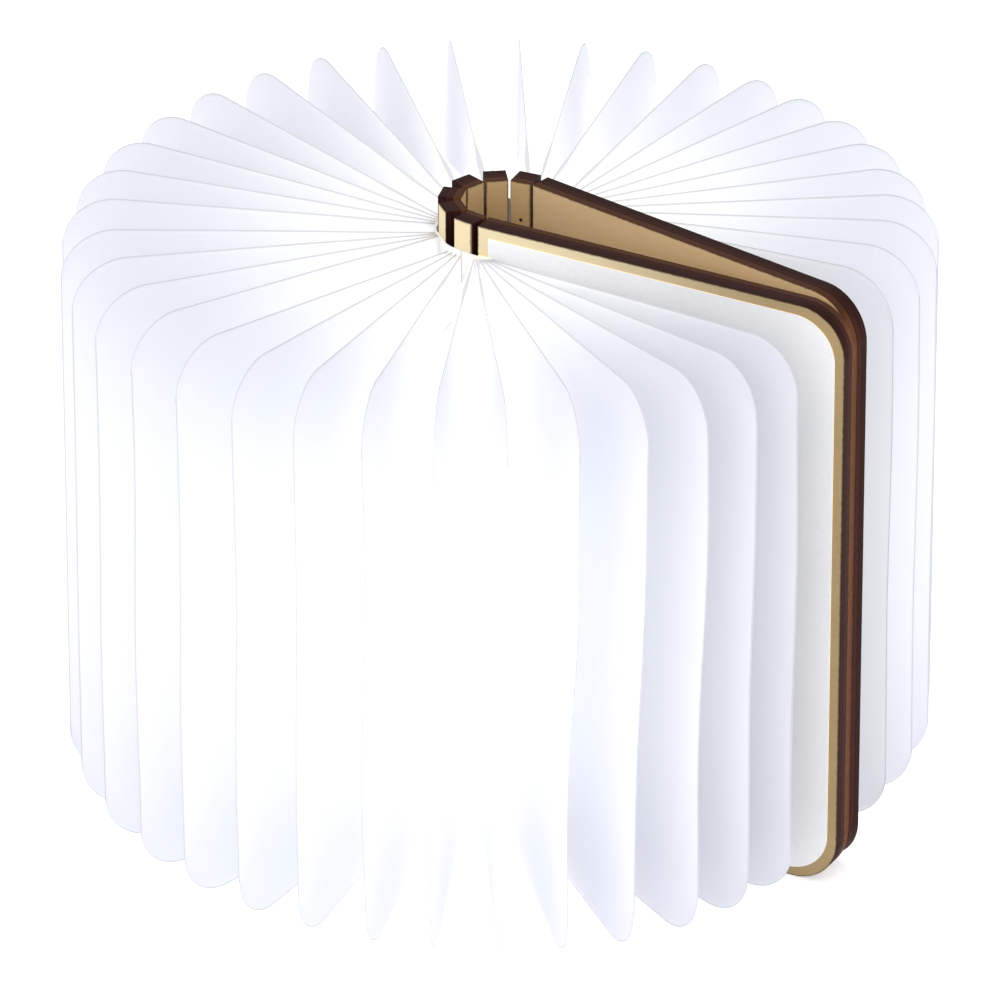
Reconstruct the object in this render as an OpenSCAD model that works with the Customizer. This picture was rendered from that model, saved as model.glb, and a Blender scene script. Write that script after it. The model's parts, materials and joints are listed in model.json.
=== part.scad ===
// Folding book lamp, standing open. The covers and six slats make a chain that wraps round a
// tear-drop hollow; the leaves fan out from it. Paper side = the outer side of the chain when open.

/* [Covers and slats] */
// Height of covers and slats
board_h = 122; // [110:1:140]
// Cover, from its spine edge to its fore edge
cover_w = 78; // [76:0.5:84]
// Plywood thickness
board_t = 4.5; // [4:0.1:4.6]
// Radius of the covers' two fore-edge corners
cover_r = 9.5; // [4:0.5:14]
// Width of one slat, along the chain
slat_w = 4.4; // [4.2:0.1:4.6]
// Gap between neighbouring slats, at mid thickness
slat_gap = 1.6; // [1.5:0.1:2]
// Gap between a cover and its slat
cover_gap = 0.85; // [0.8:0.05:1.1]

/* [Open angles] */
// Turn from the front cover to slat 1
turn_front = 10.5; // [9:0.5:10.5]
// Turn between slats 1 and 2, and between 5 and 6
turn_outer = 31.5; // [30:0.5:31.5]
// Turn between slats 2 and 3, and between 4 and 5
turn_inner = 33.5; // [32:0.5:33.5]
// Turn between slats 3 and 4
turn_mid = 35; // [33:0.5:35]
// Turn from slat 6 to the back cover, just short of the covers touching
turn_back = 16; // [14:0.5:16]

/* [Pages] */
// Thickness of a folded leaf as a flat plate
page_t = 0.18; // [0.12:0.02:0.2]
// Space from the closed leaves' fore edges to the covers' fore edges
page_inset = 2.4; // [2.2:0.1:6]
// Radius of the leaves' outer corners
page_r = 10.5; // [6:0.5:14]
// Space that a leaf leaves above and below, to the ends of the boards
page_margin = 2.2; // [1.5:0.1:4]
// The same at a leaf's inner edge, so its long edges slope from there to the outer corners
root_margin = 6; // [4:0.1:8]
// Depth of the light channel cut into each leaf's inner edge
channel_depth = 12; // [11:0.5:14]
// Space from the ends of the boards to the light channel
channel_margin = 13; // [12:0.5:16]
// Radius of the circle that the leaves' fore edges fan out on
fan_r = 83.9; // [82:0.1:86]
// How far the leaves lean towards the nearer cover, at most, in degrees
fan_sway = 3.5; // [0:0.5:4]
// End paper: thickness and inset from the cover's edge
end_paper_t = 0.25; // [0.15:0.05:0.3]
// Inset of the end paper from the edges of its cover
end_paper_inset = 2; // [1.5:0.1:4]

/* [Light bar] */
// Half the width of the bar's channel
bar_half = 2.3; // [2:0.1:2.4]
// Depth of the bar, away from the slats
bar_depth = 7.4; // [6:0.1:7.6]
// Wall of the bar and of its lid
bar_wall = 0.6; // [0.5:0.05:0.7]
// Space from the ends of the boards to the bar
bar_margin = 15; // [14.5:0.5:20]
// Number of LEDs on each side of the bar
led_count = 12; // [6:1:16]

/* [Charging] */
// Height of the USB socket's centre
usb_z = 24; // [20:1:30]
// Long side of the socket's mouth
usb_long = 7.5; // [7:0.1:8]
// Short side of the socket's mouth
usb_short = 2.6; // [2.4:0.1:2.8]
// Diameter of the charge light
light_d = 0.6; // [0.5:0.1:1]
// Charge light below the top of its slat
light_drop = 8; // [7:0.5:8]

/* [Magnets] */
// Diameter of a cover magnet
magnet_d = 5; // [4:0.5:6]
// Thickness of a cover magnet
magnet_t = 2; // [1.5:0.5:2.5]
// Magnets from the cover's fore edge
magnet_in = 7; // [6:0.5:10]

/* [Hidden] */
clear = 0.05;                 // air between a glued sheet and its board
skin_t = 0.25;                // spine lining
air = 0.1;                    // air around a fitted piece
front_cover_i = 0;            // places in the chain: cover, slats 1 to 6, cover
back_cover_i = 7;
mid_hinge = 3;
root_lift = 0.65;             // leaf's inner edge above slats 2 to 5
reed_lift = 2.25;             // above slat 1, over the reed switch
charge_lift = 3;              // above slat 6, over the charge board
bound_front = 7;              // leaves bound to each cover, in a stack with a sloping back
bound_back = 10;
stack_low = 0.55;             // outermost leaf of a stack, above the cover
stack_in = 0.4;               // innermost leaf's inner edge, from the cover's spine edge
stack_pitch = 0.5;            // from leaf to leaf, along the cover
stack_slope = 0.56;           // rise for each millimetre along the cover
arc_steps = 7;                // flats in a leaf's rounded corner
fan_x = 10.7;                 // centre of the fan from the middle hinge
fan_y = -1.1;
board_z = board_h / 2;

// Turns along the chain: standing open, and shut as a book, when they go the other way
open_turns = [turn_front, turn_outer, turn_inner, turn_mid, turn_inner, turn_outer, turn_back];
shut_turns = [-15, -30, -30, -30, -30, -30, -15];
gaps = [cover_gap, slat_gap, slat_gap, slat_gap, slat_gap, slat_gap, cover_gap];

// Leaves on each member of the chain, and where the first and the last of them are rooted:
// [count, along first, along last, lift first, lift last]
front_reach = stack_in + (bound_front - 1) * stack_pitch;
back_reach = stack_in + (bound_back - 1) * stack_pitch;
function stack_high(reach) = stack_low + stack_slope * (reach - stack_in);
root_rows = [
    [bound_front, -front_reach, -stack_in, stack_low, stack_high(front_reach)],
    [4, 1, 4.1, reed_lift, reed_lift],
    [4, 2.6, 4.1, root_lift, root_lift],
    [5, 0.5, 3.9, root_lift, root_lift],
    [3, 0.6, 3.6, root_lift, root_lift],
    [1, 1, 1, root_lift, root_lift],
    [3, 0.7, 2.9, charge_lift, charge_lift],
    [bound_back, stack_in, back_reach, stack_high(back_reach), stack_low],
];

// --- the chain, in a frame with its origin on the middle hinge and +X towards the covers
function unit(a) = [cos(a), sin(a)];
function normal(a) = [-sin(a), cos(a)];
function heading(i, t) =
    i == mid_hinge ? 90 + t[mid_hinge] / 2 :
    i == mid_hinge + 1 ? 90 - t[mid_hinge] / 2 :
    i < mid_hinge ? heading(i + 1, t) + t[i] : heading(i - 1, t) - t[i - 1];
function step_length(i) = gaps[i - 1] / 2 + slat_w + gaps[i] / 2;
function hinge(i, t) =
    i == mid_hinge ? [0, 0] :
    i < mid_hinge ? hinge(i + 1, t) - step_length(i + 1) * unit(heading(i + 1, t))
                  : hinge(i - 1, t) + step_length(i) * unit(heading(i, t));
// A member's own origin: the spine edge of a cover, the front end of a slat
function base(i, t) = i == front_cover_i
    ? hinge(0, t) - cover_gap / 2 * unit(heading(0, t))
    : hinge(i - 1, t) + gaps[i - 1] / 2 * unit(heading(i, t));
function on_member(i, along, lift, t) =
    base(i, t) + along * unit(heading(i, t)) + (board_t / 2 + lift) * normal(heading(i, t));

// --- the leaves, with their fore edges on the fan's circle or just inside the shut covers'
function roots(t) = [for (i = [0:back_cover_i]) let (r = root_rows[i]) for (k = [0:1:r[0] - 1])
    let (f = r[0] > 1 ? k / (r[0] - 1) : 0)
    on_member(i, r[1] + (r[2] - r[1]) * f, r[3] + (r[4] - r[3]) * f, t)];
open_roots = roots(open_turns);
shut_roots = roots(shut_turns);
page_count = len(open_roots);
fan_centre = [fan_x, fan_y];
front_edge = on_member(front_cover_i, -cover_w, 0, open_turns);
back_edge = on_member(back_cover_i, cover_w, 0, open_turns);
shut_reach = -on_member(back_cover_i, cover_w, 0, shut_turns)[0] - page_inset;
function azimuth(p) = atan2(p[1] - fan_centre[1], p[0] - fan_centre[0]);
fan_first = azimuth(front_edge);
fan_last = azimuth(back_edge) - 360;
function share(j) = (j + 1) / (page_count + 1);
function to_fan(j) = fan_centre - open_roots[j]
    + fan_r * unit(fan_first + (fan_last - fan_first) * share(j) + fan_sway * sin(360 * share(j)));
function page_heading(j) = atan2(to_fan(j)[1], to_fan(j)[0]);
function page_length(j) = min(norm(to_fan(j)), shut_reach + shut_roots[j][0]);

// --- the part's origin: under the middle of the whole open lamp
edges = concat([front_edge, back_edge, on_member(front_cover_i, -cover_w, -board_t, open_turns)],
    [for (j = [0:page_count - 1]) open_roots[j] + page_length(j) * unit(page_heading(j))]);
xs = [for (p = edges) p[0]];
ys = [for (p = edges) p[1]];
origin = [(min(xs) + max(xs)) / 2, (min(ys) + max(ys)) / 2];

function two_digits(n) = n < 10 ? str("0", n) : str(n);
page_names = [for (j = [1:page_count]) str("page_", two_digits(j))];
slat_names = [for (i = [1:6]) str("slat_", i)];

// --- placing
module in_part() {
    translate([-origin[0], -origin[1], 0]) children();
}
// X along the chain, Y towards the paper side (0 on the board's paper face), Z up
module on_board(i) {
    face = on_member(i, 0, 0, open_turns);
    in_part() translate([face[0], face[1], 0])
        rotate([0, 0, heading(i, open_turns)]) children();
}
// Stands an outline drawn in X and Z up, with its thickness from y0 towards the paper side
module upright(y0, thickness) {
    translate([0, y0 + thickness, 0]) rotate([90, 0, 0]) linear_extrude(thickness) children();
}

// --- boards
function corner(x, z, r, from) =
    [for (k = [0:arc_steps]) let (a = from + 90 * k / arc_steps) [x + r * cos(a), z + r * sin(a)]];

module cover_outline(w, h, r) {
    difference() {
        square([w, h]);
        for (z = [0, h - r]) translate([w - r, z]) square([r + 1, r]);
    }
    for (z = [r, h - r]) translate([w - r, z]) circle(r, $fn = 64);
}

module cover_board(side) {
    color("#6b4128") mirror([side < 0 ? 1 : 0, 0, 0]) difference() {
        upright(-board_t, board_t) cover_outline(cover_w, board_h, cover_r);
        magnet_places() cylinder(d = magnet_d + 2 * air, h = magnet_t + air + 1, $fn = 32);
    }
}

// Three pockets sunk from the paper face along the fore edge
module magnet_places() {
    for (z = [magnet_in * 2, board_z, board_h - magnet_in * 2])
        translate([cover_w - magnet_in, -magnet_t - air, z]) rotate([-90, 0, 0]) children();
}

module cover_magnets(side) {
    color("silver") mirror([side < 0 ? 1 : 0, 0, 0])
        magnet_places() translate([0, 0, air / 2]) cylinder(d = magnet_d, h = magnet_t, $fn = 32);
}

module slat(i) {
    color("#e8d9b0") difference() {
        translate([0, -board_t, 0]) cube([slat_w, board_t, board_h]);
        if (i == 6) {
            translate([slat_w / 2, 0, usb_z]) usb_shape(usb_short + 4 * air, usb_long + 4 * air);
            light_place() cylinder(d = light_d + air, h = 2 * board_t + 2, center = true, $fn = 24);
        }
    }
}

// --- paper
function page_outline(l) = concat(
    [[0, root_margin]],
    corner(l - page_r, page_margin + page_r, page_r, -90),
    corner(l - page_r, board_h - page_margin - page_r, page_r, 0),
    [[0, board_h - root_margin], [0, board_h - channel_margin],
     [channel_depth, board_h - channel_margin], [channel_depth, channel_margin],
     [0, channel_margin]]);

module page(j) {
    color("white") in_part() translate([open_roots[j][0], open_roots[j][1], 0])
        rotate([0, 0, page_heading(j)])
            upright(-page_t / 2, page_t) polygon(page_outline(page_length(j)));
}

// A cover's end paper with the glued margins of its leaves: a wedge whose slope carries them
module end_paper(side, reach) {
    under = 0.3;
    step = end_paper_inset + stack_in;
    wedge_x = stack_in - air;
    wedge_y = stack_high(reach) - under + stack_slope * air;
    color("#f4f4f4") mirror([side < 0 ? 1 : 0, 0, 0]) union() {
        upright(clear, end_paper_t) {
            translate([wedge_x, root_margin]) square([step, board_h - 2 * root_margin]);
            translate([step, end_paper_inset])
                cover_outline(cover_w - step - end_paper_inset, board_h - 2 * end_paper_inset,
                              cover_r - end_paper_inset / 2);
        }
        translate([0, 0, root_margin]) linear_extrude(board_h - 2 * root_margin)
            polygon([[wedge_x, clear], [wedge_x, wedge_y],
                     [wedge_x + (wedge_y - clear) / stack_slope, clear]]);
    }
}

// --- spine lining
function lining_line(lift) =
    [for (i = [1:6]) for (x = [0, slat_w]) on_member(i, x, lift, open_turns)];
function backwards(v) = [for (k = [len(v) - 1:-1:0]) v[k]];

module spine_lining() {
    color("#fafafa") difference() {
        in_part() translate([0, 0, root_margin]) linear_extrude(board_h - 2 * root_margin)
            polygon(concat(lining_line(clear), backwards(lining_line(clear + skin_t))));
        on_board(6) translate([slat_w / 2, 0, usb_z])
            usb_shape(usb_short + 6 * air, usb_long + 6 * air);
        on_board(6) light_place() cylinder(d = light_d + 4 * air, h = 6, center = true, $fn = 24);
    }
}

// --- light bar, which stands on a thin rib on the lining at the middle hinge
bar_back = -(board_t / 2 + 1.5);
bar_front = bar_back - bar_depth;
bar_h = board_h - 2 * bar_margin;
lining_face = (board_t / 2 + clear + skin_t) * cos(turn_mid / 2) - slat_gap / 2 * sin(turn_mid / 2);
rib_t = 0.3;
led_board_t = 0.6;
led_size = 1.4;
led_t = 0.55;

module bar_box(x0, x1, y0, y1, z0, z1) {
    in_part() translate([x0, y0, z0]) cube([x1 - x0, y1 - y0, z1 - z0]);
}

module light_bar() {
    top = board_h - bar_margin;
    color("#e6e6e6") difference() {
        union() {
            bar_box(bar_front + bar_wall, bar_back, -bar_half, bar_half, bar_margin, top);
            bar_box(bar_back - bar_wall / 2, -lining_face, -rib_t / 2, rib_t / 2, bar_margin, top);
        }
        bar_box(bar_front - 1, bar_back - bar_wall, -bar_half + bar_wall, bar_half - bar_wall,
                bar_margin + bar_wall, top - bar_wall);
    }
}

module light_bar_lid() {
    color("#f8f8f8")
        bar_box(bar_front, bar_front + bar_wall, -bar_half, bar_half, bar_margin, board_h - bar_margin);
}

module led_boards() {
    inset = 0.5;
    color("#dfe8df") for (s = [-1, 1])
        bar_box(bar_front + inset, bar_back - inset,
                min(s * bar_half, s * (bar_half + led_board_t)),
                max(s * bar_half, s * (bar_half + led_board_t)),
                bar_margin + inset, board_h - bar_margin - inset);
}

module leds() {
    y = bar_half + led_board_t;
    pitch = bar_h / led_count;
    x = (bar_front + bar_back) / 2;
    color("#fff2a8") for (s = [-1, 1]) for (k = [0:led_count - 1])
        let (z = bar_margin + pitch * (k + 0.5))
        bar_box(x - led_size / 2, x + led_size / 2, min(s * y, s * (y + led_t)),
                max(s * y, s * (y + led_t)), z - led_size / 2, z + led_size / 2);
}

module battery() {
    half = bar_half - bar_wall - air;
    color("#3d6ea5") bar_box(bar_front + bar_wall + air, bar_back - bar_wall - air, -half, half,
                             bar_margin + 8, board_h - bar_margin - 8);
}

// --- charging, on slat 6
module usb_shape(short, long) {
    rotate([90, 0, 0]) linear_extrude(2 * board_t + 4, center = true)
        for (z = [-1, 1]) {
            translate([0, z * (long - short) / 2]) circle(d = short, $fn = 32);
            if (z > 0) square([short, long - short], center = true);
        }
}

module usb_socket() {
    wall = 0.3;
    back = clear + skin_t + clear;
    color("#c8c8cc") translate([slat_w / 2, 0, usb_z]) intersection() {
        difference() {
            usb_shape(usb_short, usb_long);
            translate([0, -1, 0]) intersection() {
                usb_shape(usb_short - 2 * wall, usb_long - 2 * wall);
                translate([-board_t, -board_t - 1, -board_t * 2]) cube([9, board_t + 1, 18]);
            }
            translate([-board_t, -board_t - 3, -9]) cube([9, 3.2, 18]);
        }
        translate([-board_t, -board_t, -9]) cube([9, board_t + back, 18]);
    }
}

module charge_board() {
    color("#2f7d4f") translate([0.2, clear + skin_t + clear, usb_z - 9])
        cube([slat_w - 0.4, 0.8, 20]);
}

module light_place() {
    translate([slat_w / 2, 0, board_h - light_drop]) rotate([90, 0, 0]) children();
}

module charge_light() {
    color("#d9e6ff") {
        light_place() translate([0, 0, -0.3]) cylinder(d = light_d, h = board_t, $fn = 24);
        translate([slat_w / 2 - 0.6, 0.3, board_h - light_drop - 0.6]) cube([1.2, 0.25, 1.2]);
    }
}

module reed_switch() {
    r = 0.6;
    color("#b8d8c0") translate([slat_w / 2, clear + skin_t + clear + r, board_z - 5])
        cylinder(r = r, h = 10, $fn = 32);
}

on_board(0) cover_board(-1);  // front_cover
on_board(7) cover_board(1);  // back_cover
for (i = [1:6]) on_board(i) slat(i);
for (j = [0:page_count - 1]) page(j);
on_board(0) end_paper(-1, front_reach);  // front_end_paper
on_board(7) end_paper(1, back_reach);  // back_end_paper
spine_lining();
on_board(0) cover_magnets(-1);  // front_magnets
on_board(7) cover_magnets(1);  // back_magnets
light_bar();
light_bar_lid();
led_boards();
leds();
battery();
on_board(6) charge_board();
on_board(6) usb_socket();
on_board(6) charge_light();
on_board(1) reed_switch();
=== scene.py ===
import json
import math

import bmesh
import bpy
import numpy as np
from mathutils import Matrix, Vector


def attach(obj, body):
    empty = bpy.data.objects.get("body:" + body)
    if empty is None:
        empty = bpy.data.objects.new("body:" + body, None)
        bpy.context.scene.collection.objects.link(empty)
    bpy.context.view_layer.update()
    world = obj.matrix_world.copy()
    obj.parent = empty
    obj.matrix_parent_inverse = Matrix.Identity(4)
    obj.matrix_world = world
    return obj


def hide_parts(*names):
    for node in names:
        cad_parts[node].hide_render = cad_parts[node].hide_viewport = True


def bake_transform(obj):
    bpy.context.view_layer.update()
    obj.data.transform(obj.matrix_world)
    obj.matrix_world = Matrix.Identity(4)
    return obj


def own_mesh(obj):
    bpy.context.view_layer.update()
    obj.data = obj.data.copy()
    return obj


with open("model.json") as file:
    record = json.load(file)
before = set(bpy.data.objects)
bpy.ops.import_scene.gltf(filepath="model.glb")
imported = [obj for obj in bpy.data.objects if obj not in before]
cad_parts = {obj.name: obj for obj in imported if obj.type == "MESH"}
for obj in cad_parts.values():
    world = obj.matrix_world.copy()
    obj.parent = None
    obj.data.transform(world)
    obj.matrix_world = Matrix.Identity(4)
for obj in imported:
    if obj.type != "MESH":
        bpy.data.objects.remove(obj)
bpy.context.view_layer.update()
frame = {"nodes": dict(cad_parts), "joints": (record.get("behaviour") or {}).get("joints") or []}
joints = {j["name"]: j for j in frame["joints"]}
mm = 0.001

# ---------------------------------------------------------------------------------------------
# Covers and slats. Eight boards of 4.5 mm plywood cut out with a laser, which chars the cut
# edges dark and smokes a fine line along the faces. The faces are sanded and oiled. The boards
# keep their CAD shape, with the cut corners just broken.


def linear(r, g, b):
    """An sRGB colour of 0 to 255 as linear numbers: ((c/255 + 0.055) / 1.055) ** 2.4."""
    c = np.array([r, g, b], float) / 255
    out = np.where(c > 0.04045, ((c + 0.055) / 1.055) ** 2.4, c / 12.92)
    return (float(out[0]), float(out[1]), float(out[2]), 1.0)


class Value:
    """A number or colour that runs through a material. Sums on it add its Math nodes."""

    def __init__(self, paint, socket):
        self.paint, self.socket = paint, socket

    def math(self, operation, *others):
        values = dict(enumerate((self,) + others))
        return self.paint.node("ShaderNodeMath", {"operation": operation}, values)

    def __add__(self, other):
        return self.math("ADD", other)

    def __mul__(self, other):
        return self.math("MULTIPLY", other)

    def __sub__(self, other):
        return self.math("SUBTRACT", other)

    def __rsub__(self, other):
        values = {0: other, 1: self}
        return self.paint.node("ShaderNodeMath", {"operation": "SUBTRACT"}, values)

    def __truediv__(self, other):
        return self.math("DIVIDE", other)

    def __abs__(self):
        return self.math("ABSOLUTE")

    __radd__ = __add__
    __rmul__ = __mul__

    def at_most(self, other):
        return self.math("MINIMUM", other)

    def at_least(self, other):
        return self.math("MAXIMUM", other)

    def fade(self, start, end, low=0.0, high=1.0):
        """Goes smoothly from low at start to high at end."""
        settings = {"interpolation_type": "SMOOTHSTEP"}
        values = {0: self, 1: start, 2: end, 3: low, 4: high}
        return self.paint.node("ShaderNodeMapRange", settings, values)

    def axis(self, name):
        return self.paint.node("ShaderNodeSeparateXYZ", {}, {0: self}, name)


class Paint:
    """A material being mixed. node() adds any node: its settings first, then its sockets."""

    def __init__(self, name):
        self.material = bpy.data.materials.new(name)
        self.material.use_nodes = True
        self.tree = self.material.node_tree
        self.tree.nodes.clear()

    def node(self, kind, settings, sockets, output=0):
        made = self.tree.nodes.new(kind)
        for key, value in settings.items():
            if key == "stops":
                ramp = made.color_ramp.elements
                while len(ramp) < len(value):
                    ramp.new(0.5)
                for stop, (place, colour) in zip(ramp, value):
                    stop.position = place
                    stop.color = colour
            else:
                setattr(made, key, value)
        for key, value in sockets.items():
            if isinstance(value, Value):
                self.tree.links.new(value.socket, made.inputs[key])
            else:
                made.inputs[key].default_value = value
        return Value(self, made.outputs[output]) if made.outputs else None

    def place(self, turn=0.0, origin=(0.0, 0.0, 0.0)):
        """Object coordinates in millimetres, from an origin and turned back by an angle."""
        here = self.node("ShaderNodeTexCoord", {}, {}, "Object")
        step = (-origin[0], -origin[1], -origin[2])
        here = self.node("ShaderNodeMapping", {}, {"Vector": here, "Location": step})
        sockets = {"Vector": here, "Rotation": (0.0, 0.0, -turn), "Scale": (1000.0,) * 3}
        return self.node("ShaderNodeMapping", {}, sockets)

    def noise(self, at, scale=1.0, stretch=(1.0, 1.0, 1.0), detail=3.0, rough=0.5):
        at = self.node("ShaderNodeMapping", {}, {"Vector": at, "Scale": stretch})
        sockets = {"Vector": at, "Scale": scale, "Detail": detail, "Roughness": rough}
        return self.node("ShaderNodeTexNoise", {}, sockets, "Fac")

    def blend(self, factor, a, b):
        """Colour a where the factor is 0 and b where it is 1, by the Mix node's colour sockets."""
        settings = {"data_type": "RGBA"}
        return self.node("ShaderNodeMix", settings, {0: factor, 6: a, 7: b}, 2)

    def bump(self, height, distance):
        return self.node("ShaderNodeBump", {}, {"Height": height, "Distance": distance})

    def facing(self, heading):
        """How squarely the surface faces across a board or sheet: 1 on its faces, 0 on edges."""
        out = self.node("ShaderNodeTexCoord", {}, {}, "Normal")
        through = (-math.sin(heading), math.cos(heading), 0.0)
        settings = {"operation": "DOT_PRODUCT"}
        return abs(self.node("ShaderNodeVectorMath", settings, {0: out, 1: through}, "Value"))

    def finish(self, **sockets):
        """Ends in a Principled surface with these sockets, and gives the material."""
        sockets = {key.replace("_", " "): value for key, value in sockets.items()}
        surface = self.node("ShaderNodeBsdfPrincipled", {}, sockets)
        self.node("ShaderNodeOutputMaterial", {}, {0: surface})
        return self.material


def unit(run):
    return run / np.hypot(*run)


def angle(run):
    """Heading of a run in plan, anticlockwise from x."""
    return math.atan2(run[1], run[0])


def left_of(u):
    """The direction in plan a quarter turn to the left: the paper side of a board."""
    return np.array([-u[1], u[0]])


def put_in_scene(name, data):
    made = bpy.data.objects.new(name, data)
    bpy.context.scene.collection.objects.link(made)
    return made


def far_end(node, start):
    """Middle of a node's upright edge furthest from start: the mean of its furthest corners."""
    flat = np.array([v.co for v in frame["nodes"][node].data.vertices])[:, :2]
    reach = np.hypot(*(flat - start).T)
    return flat[reach > reach.max() - 2e-5].mean(0)


hinge_names = ["front_cover_fold", "slat_1_fold", "slat_2_fold", "spine_fold",
               "slat_5_fold", "slat_6_fold", "back_cover_fold"]
hinges = [np.array(joints[name]["pos_m"][:2]) for name in hinge_names]
board_names = ["front_cover"] + [f"slat_{i}" for i in range(1, 7)] + ["back_cover"]
front, back = 0, 7
# The boards in a row, in plan: board i lies between chain[i] and chain[i + 1].
chain = [far_end("front_cover", hinges[0])] + hinges + [far_end("back_cover", hinges[-1])]
board_t = 4.5
board_h = 122.0
slat_w = 4.4
cover_w = 78.0
cover_r = 9.5
slat_r = 0.4
broken_edge = 0.14 * mm


def plywood(name, heading, origin, width, corner, face, lit_face, glow, fore, grain_run):
    """Plywood seen in its board's own millimetres: x along it from its middle, y through it
    from its middle (the paper side is +), z up from its middle. Distance in from the outline is
    r - |max(|p| - half + r, 0)| at a cover's fore corners, and half - |p| at straight edges.
    fore is the sign of x towards a cover's fore edge, and 0 on a slat. The grain follows x
    where grain_run is 1, and z where it is -1.
    The paper side is paler, a painted light for the lamp light that reaches it; on a slat it also
    glows a little, a painted glow for the light that comes through the leaves; and on a cover it
    darkens to tan towards the fore edge, a painted shade. Cut edges show the plies."""
    paint = Paint(name)
    at = paint.place(heading, origin)
    x, y, z = at.axis("X"), at.axis("Y"), at.axis("Z")
    ahead = x * fore if fore else abs(x)
    rim = (width / 2 - ahead).at_most(board_h / 2 - abs(z))
    if fore:
        qx = (ahead - (width / 2 - corner)).at_least(0.0)
        qz = (abs(z) - (board_h / 2 - corner)).at_least(0.0)
        rim = rim.at_most(corner - (qx * qx + qz * qz).math("SQRT")).at_most(ahead + width / 2)
    side = paint.facing(heading).fade(0.85, 0.45)
    swap = slice(None, None, grain_run)
    cloud = paint.noise(at, 0.05, (1.0, 1.0, 3.0)[swap], 2.0)
    streak = paint.noise(at, 1.0, (0.045, 1.0, 1.9)[swap], 5.0, 0.62)
    pore = paint.noise(at, 1.0, (0.3, 2.0, 7.0)[swap], 2.0, 0.7).fade(0.62, 0.78)
    tint = streak.fade(0.25, 0.8, 0.0, 0.3) + cloud.fade(0.3, 0.8, 0.0, 0.2)
    tint = tint * (1.0 if fore else 0.55)
    # Painted light: the faces on the paper side are made paler and less grainy, for the lamp light
    # that falls on them.
    lit = y.fade(-0.2, 0.2) * (1 - side)
    shade = (0.9, 0.86, 0.78)
    dark = linear(*[c * k for c, k in zip(face, shade)])
    pale, tan = linear(*lit_face), linear(162, 139, 102)
    # Painted shade: on a cover the pale paper-side colour darkens to tan towards the fore edge.
    if fore:
        pale = paint.blend(ahead.fade(-0.4 * width, 0.45 * width), pale, tan)
    lit_dark = linear(*[c * (1 + k) / 2 for c, k in zip(lit_face, shade)])
    grain = paint.blend(tint * (1 - lit * 0.7), paint.blend(lit, linear(*face), pale),
                        paint.blend(lit, dark, lit_dark))
    pore_brown, smoke_brown, soot_brown = (122, 94, 64), (66, 42, 30), (38, 17, 11)
    grain = paint.blend(pore * (1 - lit) * 0.06, grain, linear(*pore_brown))
    smoke = rim + (paint.noise(at, 0.9, (1.0, 1.0, 1.0), 3.0) - 0.5) * 0.35
    grain = paint.blend(smoke.fade(0.4, 0.05, 0.0, 0.85), grain, linear(*smoke_brown))

    layer = y / board_t + 0.5 + (paint.noise(at, 0.25, (1.0, 0.1, 1.0), 2.0) - 0.5) * 0.05
    char, red, glue = linear(*soot_brown), linear(104, 63, 40), linear(42, 19, 14)
    stops = [(0.0, linear(58, 30, 21)), (0.07, red), (0.3, red), (0.37, glue),
             (0.44, linear(68, 33, 26)), (0.62, linear(60, 28, 26)), (0.69, char),
             (0.8, linear(54, 26, 22)), (1.0, char)]
    plies = paint.node("ShaderNodeValToRGB", {"stops": stops}, {0: layer})
    soot = paint.noise(at, 1.6, (0.4, 1.2, 0.4), 4.0, 0.65)
    burnt = paint.noise(at, 0.09, (1.0, 0.3, 1.0), 3.0).fade(0.3, 0.6, 0.45, 1.0)
    top = paint.node("ShaderNodeTexCoord", {}, {}, "Normal").axis("Z")
    burnt = (soot.fade(0.4, 0.9, 0.0, 0.8) * burnt).at_least(top.fade(0.4, 0.8, 0.0, 0.6))
    plies = paint.blend(burnt, plies, char)
    lines = paint.noise(at, 2.4, (1.0, 0.06, 1.0), 2.0)
    colour = paint.blend(side, grain, plies)
    rough = (streak * 0.2 + 0.42) * (1 - side) + (soot * 0.25 + 0.5) * side
    height = (streak * 0.5 + pore * -0.6) * (1 - side) + (lines * 1.2 + soot * 0.5) * side
    # Painted glow: the paper side's colour is also emitted, less near the smoked cut edges; a
    # slat's glow strength lights it, and a cover's is 0.
    painted_glow_colour = paint.blend(lit * smoke.fade(0.2, 0.9), (0.0, 0.0, 0.0, 1.0), colour)
    return paint.finish(Base_Color=colour, Roughness=rough, Specular_IOR_Level=0.06,
                        Normal=paint.bump(height, 0.04 * mm), Emission_Color=painted_glow_colour,
                        Emission_Strength=glow)


def board_copy(node, material, broken):
    """A CAD board as a closed mesh with its sharp edges broken by a small bevel."""
    mesh = frame["nodes"][node].data.copy()
    work = bmesh.new()
    work.from_mesh(mesh)
    bmesh.ops.remove_doubles(work, verts=work.verts, dist=1e-6)
    bmesh.ops.dissolve_limit(work, angle_limit=0.002, verts=work.verts, edges=work.edges)
    work.to_mesh(mesh)
    work.free()
    mesh.materials.clear()
    mesh.materials.append(material)
    made = put_in_scene(node + "_board", mesh)
    bevel = made.modifiers.new("broken_edge", "BEVEL")
    bevel.width = broken
    bevel.segments = 2
    bevel.limit_method = "ANGLE"
    bevel.angle_limit = math.radians(40)
    return made


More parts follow.
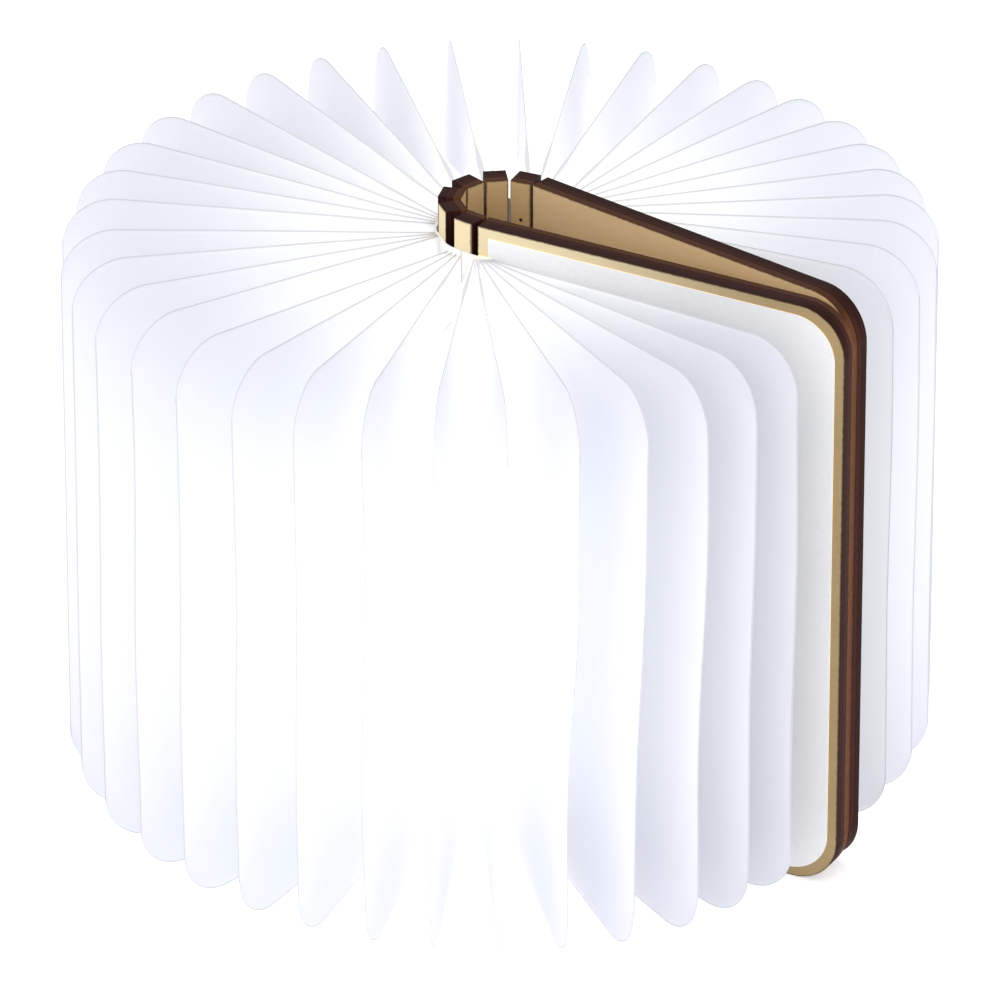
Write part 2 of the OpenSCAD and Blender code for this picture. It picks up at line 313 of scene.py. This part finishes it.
for i, node in enumerate(board_names):
    run = chain[i + 1] - chain[i]
    cover = i in (front, back)
    width = cover_w if cover else slat_w
    middle = (chain[i] + chain[i + 1]) / 2
    if i == front:
        middle = chain[0] + unit(run) * cover_w / 2 * mm
    if i == back:
        middle = chain[8] - unit(run) * cover_w / 2 * mm
    # face is the plywood's own colour; lit_face is the paper side's colour with painted lamp light
    # in it, and the last number is a slat's painted glow.
    face = (224, 198, 158) if cover else (205, 176, 132)
    lit_face = (230, 214, 176) if cover else (232, 214, 176)
    ply = plywood(node + "_plywood", angle(run), (*middle, board_h / 2 * mm), width,
                  cover_r if cover else slat_r, face, lit_face, 0.0 if cover else 0.06,
                  {front: -1, back: 1}.get(i, 0), 1 if cover else -1)
    board = board_copy(node, ply, broken_edge)
    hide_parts(node)
    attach(board, node)

# ---------------------------------------------------------------------------------------------
# Leaves. Each is a flat bellows of two sheets of white moisture-proof paper, glued together
# along the top, the fore edge and the bottom, and open to the light bar along the spine. It
# is built filled a little, as when the lamp stands open.

leaf_count = sum(1 for name in frame["nodes"] if name.startswith("page_"))
margin = 2.2
root_margin = 6.0
leaf_r = 10.5
channel_depth = 12.0
channel_margin = 13.0
dice = np.random.default_rng(7)


def leaf_surface(length, fill, wave, lean, mouths):
    """Both sheets of a leaf on one grid, in mm from its root: x outwards, y across, z up.
    Height: h(x) widens evenly from the root to the rounded outer corners. With v from 0 at the
    bottom to 1, a share cut of it at each end passes below or above the light channel, and the
    rest starts at the channel's long side, x = depth. Half thickness: 0.05 + fill *
    sin(pi x/L)^1.2 * (1 - |2v-1|^8), and on each side its mouth, where it meets the next leaf:
    mouth * (1 - |2v-1|^48) * (x/depth up to the channel, exp(-((x-depth)/6)^2) past it).
    Middle: two slow waves that grow with x, and a twist of lean over the height.
    edge is the distance in from the glued rim."""
    u = np.sin(np.linspace(0, math.pi / 2, 44)) ** 1.15
    u[-1] = 1.0
    cut = 0.09
    v = np.concatenate([np.linspace(0, cut - 0.008, 9),
                        np.linspace(cut + 0.002, 1 - cut - 0.002, 26),
                        np.linspace(1 - cut + 0.008, 1, 9)])
    uu, vv = np.meshgrid(u, v, indexing="ij")
    inner = np.where((vv > cut) & (vv < 1 - cut), channel_depth, 0.0)
    x = inner + (length - inner) * uu
    widen = np.clip(x / (length - leaf_r), 0, 1)
    h = board_h - 2 * root_margin + 2 * (root_margin - margin) * widen
    bend = np.clip(x - (length - leaf_r), 0, leaf_r)
    h -= 2 * (leaf_r - np.sqrt(leaf_r**2 - bend**2))
    low = (board_h - h) / 2
    end = np.minimum(np.minimum(vv, 1 - vv) / cut, 1)
    middle = np.clip((vv - cut) / (1 - 2 * cut), 0, 1)
    from_end = low + (channel_margin - low) * end
    between_ends = channel_margin + (board_h - 2 * channel_margin) * middle
    z = np.where(vv < cut, from_end, np.where(vv > 1 - cut, board_h - from_end, between_ends))
    s = x / length
    w = 0.05 + fill * np.sin(math.pi * s) ** 1.2 * (1 - np.abs(2 * vv - 1) ** 8)
    past = np.exp(-(((x - channel_depth) / 6) ** 2))
    open_way = np.where(x < channel_depth, x / channel_depth, past) * (1 - np.abs(2 * vv - 1) ** 48)
    widths = [w + mouth * open_way for mouth in mouths]
    a, b, c = wave
    y = s**1.5 * (a * np.sin(2.2 * s + b) + 0.55 * a * np.sin(3 * math.pi * (vv - 0.5) + c))
    y += s**1.5 * lean * (vv - 0.5)
    edge = np.minimum(z - low, board_h - low - z)
    edge = np.minimum(edge, length - x)
    return x, y, z, widths, edge, vv


def leaf_mesh(name, root, heading, length, *form):
    """Joins the grid's two sheets round their rim into one closed mesh, and turns it into place."""
    x, y, z, widths, edge, vv = leaf_surface(length, *form)
    nu, nv = x.shape
    points = np.concatenate([np.stack([x, y + widths[0], z], -1).reshape(-1, 3),
                             np.stack([x, y - widths[1], z], -1).reshape(-1, 3)]) * mm
    c, s = math.cos(heading), math.sin(heading)
    turned = points.copy()
    turned[:, 0] = root[0] + c * points[:, 0] - s * points[:, 1]
    turned[:, 1] = root[1] + s * points[:, 0] + c * points[:, 1]
    k = np.arange(nu * nv).reshape(nu, nv)
    a, b, d, e = k[:-1, :-1].ravel(), k[1:, :-1].ravel(), k[1:, 1:].ravel(), k[:-1, 1:].ravel()
    other = nu * nv
    rim = np.concatenate([k[:, 0], k[-1, 1:], k[-2::-1, -1], k[0, -2:0:-1]])
    after = np.roll(rim, -1)
    faces = np.concatenate([np.stack([a, e, d, b], 1), np.stack([a, b, d, e], 1) + other,
                            np.stack([rim, after, after + other, rim + other], 1)])
    mesh = bpy.data.meshes.new(name)
    mesh.from_pydata(turned.tolist(), [], faces.tolist())
    mesh.polygons.foreach_set("use_smooth", np.ones(len(faces), bool))
    from_rim = mesh.attributes.new("from_rim", "FLOAT", "POINT")
    from_rim.data.foreach_set("value", np.tile(edge.ravel(), 2).astype(np.float32))
    outwards = mesh.attributes.new("outwards", "FLOAT", "POINT")
    outwards.data.foreach_set("value", np.tile((x / length).ravel(), 2).astype(np.float32))
    ends = mesh.attributes.new("ends", "FLOAT", "POINT")
    ends.data.foreach_set("value", np.tile(np.abs(2 * vv - 1).ravel() ** 3, 2).astype(np.float32))
    return mesh


def hump(n, middle, width):
    """1 at the middle leaf, and less to both sides of it: exp(-((n - middle) / width)^2)."""
    return math.exp(-(((n - middle) / width) ** 2))


def leaf_paper(name, lit):
    """White paper with the light behind it painted as a glow: glow = (0.5 (1 - out)^3 + lit
    (1 - out/2)) * (1 - 0.62 ends), a little cloudy from the fibres, and none along the glued rim.
    Its base is darker towards the outer corners, a painted shade, and greyer along that rim.
    ends is |2v-1|^3."""
    paint = Paint(name)
    at = paint.place()
    rim = paint.node("ShaderNodeAttribute", {"attribute_name": "from_rim"}, {}, "Fac")
    out = paint.node("ShaderNodeAttribute", {"attribute_name": "outwards"}, {}, "Fac")
    ends = paint.node("ShaderNodeAttribute", {"attribute_name": "ends"}, {}, "Fac")
    fibre = paint.noise(at, 0.9, (1.0, 1.0, 1.0), 4.0, 0.6)
    cloud = paint.noise(at, 0.07, (1.0, 1.0, 1.0), 2.0)
    glued = rim.fade(0.34, 0.16)
    # Painted shade: the base darkens towards the outer corners, most towards the top and bottom.
    corner = out.fade(0.3, 1.0) * (ends * 0.65 + 0.35)
    base = paint.blend(corner, linear(240, 241, 244), linear(220, 222, 230))
    base = paint.blend(glued * 0.45, base, linear(186, 186, 192))
    fibre_light = fibre * 0.08 + cloud * 0.14 + 0.88
    inner = 1 - out
    # Painted light: the light from the light bar is emitted by the paper itself as a glow.
    glow = inner * inner * inner * 0.5 + (1 - out * 0.5) * lit
    glow = glow * (1 - ends * 0.62) * fibre_light * (1 - glued)
    light = paint.blend(out.fade(0.1, 0.9), linear(255, 254, 252), linear(242, 244, 251))
    light = paint.blend(glow, (0.0, 0.0, 0.0, 1.0), light)
    normal = paint.bump(fibre * 0.6 + glued * 0.8, 0.04 * mm)
    return paint.finish(Base_Color=base, Roughness=0.62, Normal=normal,
                        Emission_Color=light, Emission_Strength=0.5)


leaf_names = [f"page_{n + 1:02d}" for n in range(leaf_count)]
leaf_roots = [np.array(joints[node + "_turn"]["pos_m"][:2]) for node in leaf_names]
leaf_tips = [far_end(node, root) for node, root in zip(leaf_names, leaf_roots)]
# Each mouth reaches nearly half way to the next leaf, where the two sheets are joined, up to
# the widest. The outermost two face a cover.
widest_mouth, cover_mouth, mouth_clear = 3.2, 0.4, 0.15
at_channel = [root + unit(tip - root) * channel_depth * mm
              for root, tip in zip(leaf_roots, leaf_tips)]
steps = [np.hypot(*(b - a)) / mm for a, b in zip(at_channel, at_channel[1:])]
mouth_sizes = [min(step / 2 - mouth_clear, widest_mouth) for step in steps]
mouth_sizes = [cover_mouth] + mouth_sizes + [cover_mouth]
tip_clear = 0.15
near_light, far_light, shaded, full_light = 6, 29, 0.15, 4.3
for n, (node, root, tip) in enumerate(zip(leaf_names, leaf_roots, leaf_tips)):
    heading = angle(tip - root)
    length = np.hypot(*(tip - root)) / mm - tip_clear
    wave = (dice.uniform(0.35, 0.9), dice.uniform(-0.6, 0.6), dice.uniform(-0.8, 0.8))
    # The light, painted as each leaf's glow, shows most through the leaves about leaf_07 and
    # leaf_30, and least through the first few. Leaves about the fourth and fifth lean towards the
    # front cover at the top.
    lit = 0.26 + 0.5 * hump(n, near_light, 6.5) + 0.42 * hump(n, far_light, 6.0)
    lit = lit * (shaded + (1 - shaded) * min(n / full_light, 1.0))
    lean = 3.2 * hump(n, 3.5, 2.5)
    paper = leaf_paper(f"leaf_paper_{n + 1:02d}", lit)
    fill = dice.uniform(0.9, 1.3)
    mouths = mouth_sizes[n:n + 2]
    mesh = leaf_mesh(f"leaf_{n + 1:02d}", root, heading, length, fill, wave, lean, mouths)
    mesh.materials.append(paper)
    leaf = put_in_scene(f"leaf_{n + 1:02d}", mesh)
    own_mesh(leaf)
    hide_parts(node)
    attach(leaf, node)

# ---------------------------------------------------------------------------------------------
# End papers. One sheet of the same paper, a little heavier, is glued to each cover's paper side,
# and its folded margin carries the glued edges of that cover's leaves. They keep their CAD shape.


def pressed_paper(name, light, dark, fleck, glow, heading=None):
    """Matt paper or fabric with soft fibres, pressed flat on the board under it. Light from the
    leaves' roots is painted on it as a glow: glow fades to a fifth from 11 to 70 mm off the point
    midway between the covers' hinges. A sheet with a heading has a painted highlight on its cut
    edge, which is made cream and glows more."""
    paint = Paint(name)
    at = paint.place(0.0, (*(hinges[0] + hinges[6]) / 2, 0.0))
    far = (at.axis("X") * at.axis("X") + at.axis("Y") * at.axis("Y")).math("SQRT")
    # Painted light: the glow from the leaves' roots is emitted by the sheet itself.
    glow = far.fade(70.0, 11.0, glow * 0.2, glow)
    fibre = paint.noise(at, 1.4, (1.0, 1.0, 1.0), 4.0, 0.6)
    cloud = paint.noise(at, 0.06, (1.0, 1.0, 1.0), 2.0)
    colour = paint.blend(fibre.fade(0.3, 0.75), linear(*light), linear(*dark))
    colour = paint.blend(cloud.fade(0.35, 0.8, 0.0, 0.5), colour, linear(*fleck))
    if heading is not None:
        # Painted highlight: the cut edge is made cream and glows more.
        cut = paint.facing(heading).fade(0.7, 0.4)
        colour = paint.blend(cut, colour, linear(250, 240, 212))
        glow = glow + cut * 0.3
    rough = fibre * 0.15 + 0.55
    light = paint.blend(glow, (0.0, 0.0, 0.0, 1.0), colour)
    return paint.finish(Base_Color=colour, Roughness=rough, Normal=paint.bump(fibre, 0.03 * mm),
                        Emission_Color=light, Emission_Strength=1.0)


def dress(material, *nodes):
    """Puts a material on CAD nodes whose shape stays as it is."""
    for node in nodes:
        for place in frame["nodes"][node].material_slots:
            place.material = material


whites = ((234, 234, 235), (230, 230, 232), (227, 228, 230))
for i, node in ((front, "front_end_paper"), (back, "back_end_paper")):
    dress(pressed_paper(node, *whites, 0.12, angle(chain[i + 1] - chain[i])), node)

# ---------------------------------------------------------------------------------------------
# Spine lining. A strip of white bonded fabric is glued across the paper side of covers and
# slats, and is every hinge of the spine. One strip bends over each gap, and over the middle
# one two halves, which meet where the light bar stands.

lining_lift = (0.06, 0.28)
lining_margin = 6.2


def lining_strip(name, hinge_at, back_u, front_u, before, after):
    """A thin strip over one gap: its path runs along the first face, turns round the hinge at
    the faces' height, r = (t/2 + lift) * (1 - 0.05 sin(pi s)) with s from 0 to 1 along the
    turn, and runs on along the next. A side with before or after 0 ends with the turn.
    Closed round its edge."""
    sides = []
    for lift in lining_lift:
        r = board_t / 2 + lift
        normals = [left_of(u) for u in (back_u, front_u)]
        angles = [angle(n) for n in normals]
        turn = (angles[1] - angles[0] + math.pi) % (2 * math.pi) - math.pi
        a = angles[0] + turn * np.linspace(0, 1, 15)
        sag = 1 - 0.05 * np.sin(np.linspace(0, math.pi, 15))
        bend = np.stack([np.cos(a), np.sin(a)], 1) * (r * sag)[:, None]
        lead = [normals[0] * r - back_u * d for d in np.linspace(before, 0, 5)[:-1]]
        tail = [normals[1] * r + front_u * d for d in np.linspace(0, after, 5)[1:]]
        sides.append(np.array([*lead, *bend, *tail]) * mm + hinge_at)
    if before == 0:
        sides = [side[4:] for side in sides]
    if after == 0:
        sides = [side[:-4] for side in sides]
    loop = np.concatenate([sides[0], sides[1][::-1]])
    z = np.linspace(lining_margin, board_h - lining_margin, 24) * mm
    count = len(loop)
    points = np.concatenate([np.column_stack([loop, np.full(count, level)]) for level in z])
    k = np.arange(count * len(z)).reshape(len(z), count)
    here, up = k[:-1].ravel(), k[1:].ravel()
    there, over = np.roll(k[:-1], -1, 1).ravel(), np.roll(k[1:], -1, 1).ravel()
    half = count // 2
    i = np.arange(half - 1)
    lids = [np.stack([i, i + 1, count - 2 - i, count - 1 - i], 1)[:, ::step] + base
            for step, base in ((1, 0), (-1, k[-1, 0]))]
    faces = np.concatenate([np.stack([here, up, over, there], 1), *lids])
    mesh = bpy.data.meshes.new(name)
    mesh.from_pydata(points.tolist(), [], faces.tolist())
    return put_in_scene(name, mesh)


# The lining gets the same painted glow from the leaves' roots, at 0.15.
lining = pressed_paper("bonded_fabric", (236, 236, 235), (226, 226, 226), (220, 220, 219), 0.15)
directions = [unit(b - a) for a, b in zip(chain, chain[1:])]
half_gap = 0.8
half_slat = slat_w / 2 + half_gap
cover_lap = 1.3
clear = 0.01
middle_gap = 3
# Each run: its gap, the bodies before and after it, their directions, and how far the strip
# lies along each of them.
runs = []
for i in range(len(hinges)):
    near = cover_lap if i == front else half_slat
    far = cover_lap if i + 1 == back else half_slat
    if i != middle_gap:
        runs.append((i, board_names[i], board_names[i + 1], directions[i], directions[i + 1],
                     near - clear, far - clear))
u_3, u_4 = directions[middle_gap], directions[middle_gap + 1]
across_middle = unit(u_3 + u_4)
runs.append((middle_gap, "slat_3", "core", u_3, across_middle, half_slat - clear, 0))
runs.append((middle_gap, "core", "slat_4", across_middle, u_4, 0, half_slat - clear))
for n, (i, a, b, back_u, front_u, before, after) in enumerate(runs):
    strip = lining_strip(f"lining_{n + 1}", hinges[i], back_u, front_u, before, after)
    strip.data.materials.append(lining)
    start, end = [hinges[i] + left_of(u) * board_t / 2 * mm for u in (back_u, front_u)]
    if b == "core":
        start = start - back_u * half_gap * mm
    if a == "core":
        end = end + front_u * half_gap * mm
    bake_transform(strip)
    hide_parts("spine_lining")

# ---------------------------------------------------------------------------------------------
# Light bar. A moulded channel with a press-on lid stands on the lining inside the leaves. Two
# boards of LEDs are glued to its sides, and the rechargeable cell lies in it.


def moulded(name, colour, mottle, sheen, depth, nodes, **more):
    """Dresses CAD nodes in moulded, coated or plated stock: a fine grain of this depth in mm,
    and a slow drift in tone, which a glow shares. More sockets are set as they are named."""
    paint = Paint(name)
    at = paint.place()
    grain = paint.noise(at, 2.88, (1.0, 1.0, 1.0), 3.0, 0.7)
    drift = paint.noise(at, 0.12, (1.0, 1.0, 0.5), 2.0)
    tone = paint.blend(drift.fade(0.3, 0.7), linear(*colour), linear(*mottle))
    if depth:
        more["Normal"] = paint.bump(grain, depth * mm)
    if "Emission_Strength" in more:
        more["Emission_Color"] = tone
    dress(paint.finish(Base_Color=tone, Roughness=grain * 0.2 + sheen, **more), *nodes)


moulded("white_moulding", (232, 232, 228), (222, 222, 219), 0.4, 0.02,
        ["light_bar", "light_bar_lid"])
moulded("white_mask", (222, 228, 222), (205, 214, 206), 0.28, 0.01, ["led_boards"])
moulded("phosphor", (255, 238, 176), (255, 226, 140), 0.35, 0, ["leds"], Emission_Strength=1.5)
moulded("shrink_film", (58, 104, 158), (48, 90, 140), 0.22, 0.02, ["battery"])

# ---------------------------------------------------------------------------------------------
# Charging and switching parts. The board with its socket and charge light sits behind slat 6,
# the reed switch behind slat 1, and small nickel-plated magnets are let into the covers.

moulded("green_mask", (44, 122, 78), (36, 104, 66), 0.25, 0.02, ["charge_board"])
moulded("plated_steel", (196, 198, 203), (180, 182, 188), 0.24, 0, ["usb_socket"], Metallic=1.0)
moulded("nickel", (186, 187, 190), (170, 171, 175), 0.2, 0, ["front_magnets", "back_magnets"],
        Metallic=1.0)
moulded("smoked_resin", (46, 44, 48), (36, 34, 40), 0.3, 0, ["charge_light"], Coat_Weight=0.5)
moulded("reed_tube", (176, 206, 186), (160, 192, 172), 0.1, 0, ["reed_switch"], Coat_Weight=0.6)

# ---------------------------------------------------------------------------------------------
# Floor, lights and camera.

floor_mesh = bpy.data.meshes.new("floor")
floor_mesh.from_pydata([(-6, -6, 0), (6, -6, 0), (6, 6, 0), (-6, 6, 0)], [], [(0, 1, 2, 3)])
floor = put_in_scene("floor", floor_mesh)
sheet = Paint("pale_floor")
tone = sheet.noise(sheet.place(), 0.004, (1.0, 1.0, 1.0), 2.0)
floor_mesh.materials.append(sheet.finish(
    Base_Color=sheet.blend(tone, linear(250, 250, 250), linear(246, 246, 247)), Roughness=0.8,
    Emission_Color=(1.0, 1.0, 1.0, 1.0), Emission_Strength=0.46))

world = bpy.data.worlds.new("studio")
bpy.context.scene.world = world
world.use_nodes = True
sky = world.node_tree.nodes["Background"].inputs
sky["Color"].default_value = (1.0, 1.0, 1.0, 1.0)
sky["Strength"].default_value = 1.0

middle_hinge = hinges[middle_gap]
view_turn = math.radians(31.9)
hinge_x, hinge_y = -7.7, 7.02


def in_view(x, y, z):
    """A point of the view's frame (mm: x right, y away, z up) in the part's, by one turn about
    the middle hinge, which stands at hinge_x, hinge_y in the view's."""
    px, py = (x - hinge_x) * mm, (y - hinge_y) * mm
    c, s = math.cos(view_turn), math.sin(view_turn)
    return Vector((middle_hinge[0] + c * px - s * py, middle_hinge[1] + s * px + c * py, z * mm))


tilt = math.radians(27.94)
away = 2085.0
aim_x, aim_z = -0.11, 59.0
focal_px, picture_px = 10858, 992
target = in_view(aim_x, 0.0, aim_z)
eye = in_view(aim_x, -away * math.cos(tilt), aim_z + away * math.sin(tilt))
lens = bpy.data.cameras.new("camera")
lens.sensor_width = 36.0
lens.lens = lens.sensor_width * focal_px / picture_px
lens.clip_start = 0.1
lens.clip_end = 50.0
camera = put_in_scene("camera", lens)
camera.location = eye
camera.rotation_euler = (target - eye).to_track_quat("-Z", "Y").to_euler()
bpy.context.scene.camera = camera

for name, place, size, power in (("key", (-500, -700, 900), 0.9, 2.2),
                                 ("fill", (800, -500, 500), 1.0, 0.5),
                                 ("back", (100, 900, 900), 1.0, 1.0)):
    lamp = bpy.data.lights.new(name, "AREA")
    lamp.size = size
    lamp.energy = power
    hung = put_in_scene(name, lamp)
    hung.location = in_view(*place)
    hung.rotation_euler = (target - hung.location).to_track_quat("-Z", "Y").to_euler()

bpy.context.scene.view_settings.view_transform = "Standard"
